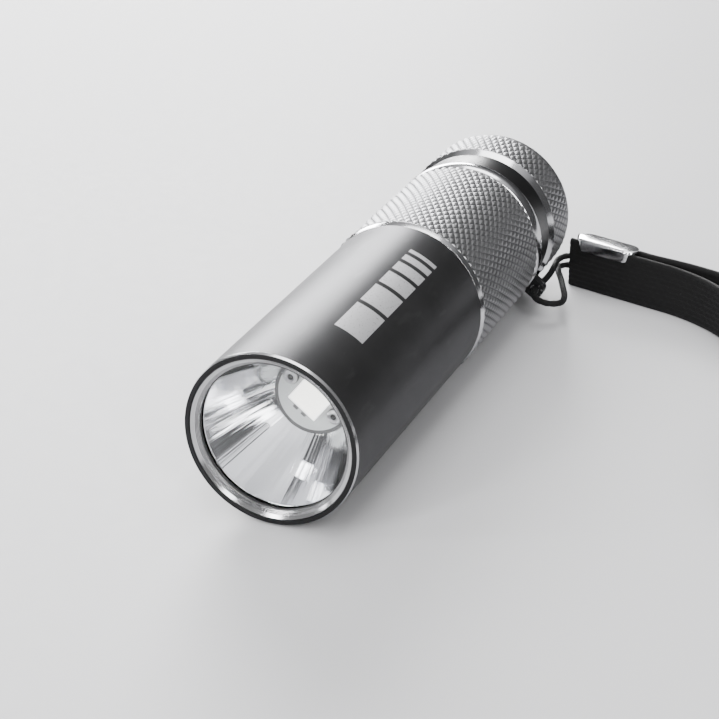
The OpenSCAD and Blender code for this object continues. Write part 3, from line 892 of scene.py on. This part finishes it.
def tail_cap(finish):
    """Knurled cap with a bright turned front edge and a rounded rear edge."""
    land_r, thread_r = 13.0, 12.65
    land_back = span("tail_o_ring")[1] + 0.55
    thread_back = 97
    wall = CAP_BACK - 2
    low = CAP_R - KNURL_DEPTH
    shell = Shell()
    ring = shell.lathe(rounded(
        (CAP_FRONT, land_r, 0.1), (CAP_FRONT, CAP_R - 0.85, 0.12),
        (CAP_FRONT + CAP_CHAMFER - 0.1, CAP_R - 0.18, 0), (CAP_FRONT + CAP_CHAMFER, CAP_R - 0.12, 0)),
        TURNS)
    ring = shell.knurl(CAP_FRONT + CAP_CHAMFER + 0.1, CAP_BACK - CAP_EDGE_R - 0.15, CAP_R, 6, ring)
    edge_r = CAP_EDGE_R - 0.2
    hole = BUTTON_R + 0.3
    ring = shell.lathe(
        arc(CAP_BACK - edge_r, low + 0.04 - edge_r, edge_r, 0, 90, 10)
        + [(CAP_BACK, hole + 1.5), (CAP_BACK - 0.12, hole + 1.3), (CAP_BACK - 0.9, hole + 0.15),
           (CAP_BACK - 1.0, hole), (wall, hole), (wall, BORE_R), (thread_back, BORE_R),
           (thread_back, thread_r), (land_back, thread_r), (land_back - 0.1, land_r)], TURNS, ring)
    shell.join(ring, shell.first)
    return piece("tail_cap_knurled", shell.verts, shell.faces, "cap", finish,
                 ["tail_cap"], 28)


def head_tube(finish):
    """Smooth front tube, with the seats of the bezel ring, the heat sink and the battery tube."""
    seat = FLANGE_R + FIT_GAP
    sleeve = SLEEVE_R + FIT_GAP
    thread = NECK_R + FIT_GAP
    thread_front = TUBE_FRONT - 0.5
    chamber_front = SLEEVE_BACK + 1
    outline = rounded(
        (0, seat, 0.03), (0, FACE_R, 0.03), (FACE_CHAMFER, HEAD_R, 0.1),
        (HEAD_BACK - 0.25, HEAD_R, 0.1), (HEAD_BACK, HEAD_R - 0.25, 0.06), (HEAD_BACK, thread, 0.05),
        (thread_front, thread, 0), (thread_front, BORE_R, 0), (SINK_SHOULDER, BORE_R, 0),
        (SINK_SHOULDER, CHAMBER_R, 0), (chamber_front, CHAMBER_R, 0), (chamber_front, sleeve, 0),
        (FLANGE_BACK, sleeve, 0), (FLANGE_BACK, seat, 0))
    return turned_piece("head_tube", outline, finish, count=232)


def bezel_ring():
    """Threaded ring with a bright bevel, then fine turned steps down to the lip on the lens."""
    front = 0.1
    lip_front = LIP_BACK - 0.12
    drop, rise = (lip_front - BEVEL_BACK) / BEVEL_STEPS, (BEVEL_R - LIP_R) / BEVEL_STEPS
    stairs = []
    for k in range(BEVEL_STEPS, 0, -1):
        station, radius = BEVEL_BACK + k * drop, BEVEL_R - k * rise
        stairs += [(station, radius, 0.02), (station - 0.75 * drop, radius + 0.15 * rise, 0.02)]
    outline = rounded(
        (front, FLANGE_R - 0.06, 0.03), (front, FLANGE_R, 0.04), (FLANGE_BACK, FLANGE_R, 0),
        (FLANGE_BACK, SLEEVE_R, 0), (SLEEVE_BACK, SLEEVE_R, 0.1),
        (SLEEVE_BACK, SLEEVE_BORE_R, 0.1), (LIP_BACK, SLEEVE_BORE_R, 0), (LIP_BACK, LIP_R, 0.03),
        *stairs, (BEVEL_BACK, BEVEL_R, 0.04))
    return turned_piece("bezel_ring", outline, dark_ring(), count=232)


def lens_gasket(finish):
    """Flat rubber ring whose inner edge shows inside the lip."""
    front, back, outer = span("lens_gasket")
    inner = LIP_R - 0.12
    outline = rounded((front, inner, 0.1), (front, outer, 0), (back, outer, 0), (back, inner, 0.1))
    return turned_piece("lens_gasket", outline, finish)


def front_lens():
    """Flat disc with rounded edges."""
    outline = rounded((LENS_FRONT, 0, 0), (LENS_FRONT, LENS_R, 0.18), (LENS_BACK, LENS_R, 0.18),
                      (LENS_BACK, 0, 0))
    return turned_piece("front_lens", outline, clear_lens())


def reflector(finish):
    """Parabolic bowl with its flange and a thin base edge around the emitter."""
    wall, foot, flange = 0.9, 2.1, 0.8
    depth = BOARD_FRONT - LENS_BACK
    steps = 40

    def bowl(t):
        return math.sqrt(BOWL_R ** 2 + (BOWL_BASE_R ** 2 - BOWL_R ** 2) * t)

    inner = [(LENS_BACK + 0.05 + (depth - 0.05) * k / steps, bowl(k / steps))
             for k in range(steps + 1)]
    outer = [(LENS_BACK + depth * k / steps, bowl(k / steps) + wall)
             for k in range(steps - 2, 4, -1)]
    outline = (inner + [(BOARD_FRONT, BOWL_BASE_R + foot), (BOARD_FRONT - 0.8, BOWL_BASE_R + foot)]
               + outer + [(LENS_BACK + flange, LENS_R - 0.4), (LENS_BACK + flange, LENS_R),
                          (LENS_BACK, LENS_R), (LENS_BACK, BOWL_R + 0.12),
                          (LENS_BACK + 0.02, BOWL_R + 0.04)])
    return turned_piece("reflector", outline, finish, count=232)


def board_screws(finish):
    """Pan-head screws with a recess painted dark as shade, on both sides of the emitter."""
    head_r, shank_r, pitch_r = 1.15, 0.6, 4.15
    front, back, _ = span("board_screws")
    verts, faces = [], []
    for turn in (BOARD_ANGLE, BOARD_ANGLE + math.pi):
        shell = Shell().closed([
            (front + 0.4, 0), (front + 0.4, 0.38), (front + 0.1, 0.5), (front, 0.62),
            (front + 0.03, 0.8), (front + 0.14, 1.0), (front + 0.32, head_r), (BOARD_FRONT, head_r),
            (BOARD_FRONT, shank_r), (back, shank_r), (back, 0)], 32)
        shift = Vector((0, math.cos(turn), math.sin(turn))) * pitch_r * MM
        faces += [[k + len(verts) for k in face] for face in shell.faces]
        verts += [tuple(Vector(v) + shift) for v in shell.verts]
    return piece("board_screws_detail", verts, faces, "light_body", finish,
                 ["board_screws"])


def button_boot(finish):
    """Rubber button with a raised ring and a shallow dish."""
    front, back, _ = span("button_boot")
    head_r, flange_r, flange_back = 4.2, 7.0, front + 0.6
    inside = front + 1.2
    outline = rounded(
        (inside, 0, 0), (inside, head_r, 0.2), (front, head_r, 0.1), (front, flange_r, 0.15),
        (flange_back, flange_r, 0.15), (flange_back, BUTTON_R, 0.2), (back, BUTTON_R, 1.0),
        (back, 4.6, 0.15), (back - 0.22, 4.35, 0.1), (back - 0.22, 3.7, 0.1),
        (back - 0.02, 3.45, 0.15), (back - 0.12, 1.5, 0.4), (back - 0.2, 0, 0), steps=5)
    return turned_piece("button_boot", outline, finish, "button")


def o_ring(name, inner, finish):
    """Ring of oval section, from its inner radius out to the node's own."""
    front, back, outer = span(name)
    middle, radius = (front + back) / 2, (outer + inner) / 2
    outline = [(middle + (back - front) / 2 * math.cos(TAU * k / 16),
                radius + (outer - inner) / 2 * math.sin(TAU * k / 16)) for k in range(16)]
    return turned_piece(name, outline, finish)


silver = knurled_silver()
black = rubber()
battery_tube(silver)
tail_cap(silver)
head_tube(satin_barrel())
bezel_ring()
lens_gasket(black)
front_lens()
reflector(mirror())
board_screws(screw_steel())
button_boot(black)
o_ring("tail_o_ring", TAIL_GROOVE_R, black)
o_ring("tube_o_ring", TUBE_RING_R, black)


# ---------- nodes that keep their CAD shape ----------

raw = turned_metal("raw_metal", 0.66, 0.2, 0.36)
steel = spring_wire()
contacts = brass()
white_board = board_mask("white_board", (0.40, 0.41, 0.41))
CAD_FINISHES = {
    "led_package": emitter(), "led_board": white_board, "heat_sink": raw,
    "led_leads": plastic("lead_insulation", (0.5, 0.04, 0.03), 0.4),
    "driver_board": board_mask("green_board", (0.02, 0.16, 0.07)), "front_contact": contacts,
    "lanyard_collar": dark_collar(), "carrier_posts": raw, "carrier_contacts": contacts,
    "carrier_springs": steel, "tail_spring": steel, "switch_terminal": contacts,
    "switch_retaining_ring": raw, "switch_spring": steel,
    "switch_plunger": plastic("white_nylon", (0.7, 0.7, 0.67), 0.4)}
black_plastic = plastic("black_plastic", (0.02, 0.02, 0.021), 0.42)
wrap = cell_wrap()
for node in ("carrier_front_plate", "carrier_rear_plate", "switch_housing"):
    CAD_FINISHES[node] = black_plastic
for node in ("cell_1", "cell_2", "cell_3"):
    CAD_FINISHES[node] = wrap
for node, finish in CAD_FINISHES.items():
    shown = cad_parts[node]
    for slot in shown.material_slots:
        slot.material = finish


# ---------- floor and light ----------

def add_floor():
    """Large plain pale sheet."""
    f = Finish("floor", Specular_IOR_Level=0.3)
    colour = f.mix(f.grain(120, 3), grey(0.50), grey(0.54))
    finish = f.done(colour, f.blend(f.grain(3, 3), 0.5, 0.6))
    reach_m = 2.5
    corners = [(-reach_m, -reach_m, 0), (reach_m, -reach_m, 0), (reach_m, reach_m, 0),
               (-reach_m, reach_m, 0)]
    mesh = bpy.data.meshes.new("floor")
    mesh.from_pydata(corners, [], [[0, 1, 2, 3]])
    mesh.materials.append(finish)
    floor = bpy.data.objects.new("floor", mesh)
    bpy.context.scene.collection.objects.link(floor)


def add_lamp(name, place, target, size, power):
    """Soft rectangular lamp; place, target and size in metres."""
    data = bpy.data.lights.new(name, "AREA")
    data.shape = "RECTANGLE"
    data.size, data.size_y = size
    data.energy = power
    lamp = bpy.data.objects.new(name, data)
    lamp.location = place
    lamp.rotation_euler = (Vector(place) - Vector(target)).to_track_quat("Z", "Y").to_euler()
    bpy.context.scene.collection.objects.link(lamp)


def add_sky():
    """Dim studio surround with a soft bright zone overhead."""
    world = bpy.data.worlds.new("studio")
    bpy.context.scene.world = world
    world.use_nodes = True
    tree = world.node_tree
    place = tree.nodes.new("ShaderNodeTexCoord")
    split = tree.nodes.new("ShaderNodeSeparateXYZ")
    ramp = tree.nodes.new("ShaderNodeValToRGB")
    elements = ramp.color_ramp.elements
    elements.new(0.7)
    for element, (at, level) in zip(elements, ((0.0, 0.07), (0.65, 0.12), (0.9, 0.8))):
        element.position = at
        element.color = (level, level, level * 1.02, 1)
    tree.links.new(place.outputs["Generated"], split.inputs[0])
    tree.links.new(split.outputs[2], ramp.inputs[0])
    tree.links.new(ramp.outputs[0], tree.nodes["Background"].inputs[0])


add_floor()
add_sky()
add_lamp("key", (-0.62, -0.42, 0.30), (0, 0, 0.014), (0.5, 0.3), 18)
add_lamp("top", (-0.1, 0.0, 0.9), (0, 0, 0.01), (0.6, 0.6), 7)
# Upright strips in front of the light, for streaks in the reflector
STRIP_DISTANCE_M = 0.8
for turn, width in ((-60, 0.05), (-25, 0.12), (10, 0.06), (45, 0.10)):
    x, y = math.cos(math.radians(turn)), math.sin(math.radians(turn))
    add_lamp("strip", (x * STRIP_DISTANCE_M, y * STRIP_DISTANCE_M, 0.45), (0.05, 0, 0.2),
             (width, 0.8), 60 * width)
